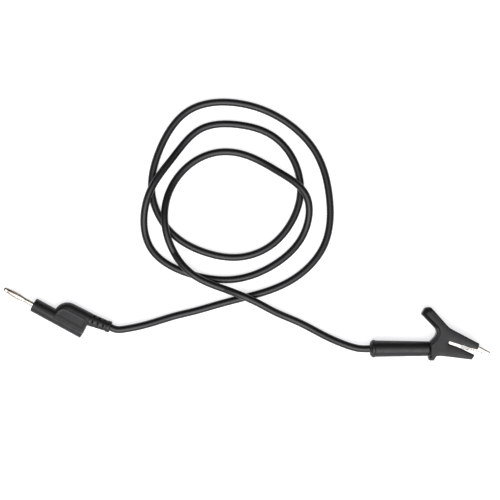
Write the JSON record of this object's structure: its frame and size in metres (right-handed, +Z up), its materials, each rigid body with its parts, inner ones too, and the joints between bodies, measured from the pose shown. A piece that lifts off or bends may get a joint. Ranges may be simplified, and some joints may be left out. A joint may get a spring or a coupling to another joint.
{
  "type": "alligator clip lead",
  "caption": "Test lead: stackable 4 mm banana plug with a side strain relief, flexible cable in loose turns, and a booted alligator clip with a sprung jaw.",
  "frame": {"origin": "on the surface the lead lies on, under the middle of the box round the plug and the clip", "axes": "+X from the plug end towards the clip end, +Y from the clip and plug towards the coil, +Z up; the clip's hinge axis is +Z"},
  "size_m": [0.2783, 0.1497, 0.0105],
  "materials": {
    "black_pvc": "satin moulded PVC",
    "cable_pvc": "smooth extruded PVC",
    "nickel": "bright nickel plate",
    "spring_steel": "plain",
    "brass": "turned",
    "tinned_copper": "stranded wire"
  },
  "bodies": {
    "lead": {"plug_body": "black_pvc", "plug_strain_relief": "black_pvc", "plug_core_pin": "nickel", "plug_lantern_spring": "nickel", "plug_contact_bush": "brass", "plug_socket_sleeve": "nickel", "plug_contact_lug": "brass", "plug_crimp_ferrule": "brass", "plug_conductor": "tinned_copper", "plug_cable_end": "cable_pvc", "cable_jacket": "cable_pvc", "clip_cable_end": "cable_pvc", "clip_conductor": "tinned_copper", "clip_crimp_ferrule": "brass", "clip_sleeve": "black_pvc", "clip_lower_jaw": "nickel", "clip_pivot_rivet": "spring_steel", "clip_torsion_spring": "spring_steel", "clip_boot_lower": "black_pvc"},
    "moving_jaw": {"clip_upper_jaw": "nickel", "clip_boot_upper": "black_pvc"}
  },
  "joints": [
    {"name": "jaw_open", "type": "hinge", "parent": "lead", "child": "moving_jaw", "pos_m": [0.10965, -0.00895, 0.00525], "axis": [0, 0, 1], "range_deg": [0, 24], "stiffness_Nm_per_rad": 0.1, "springref_deg": -45.84, "deforming": ["clip_torsion_spring"]}
  ]
}
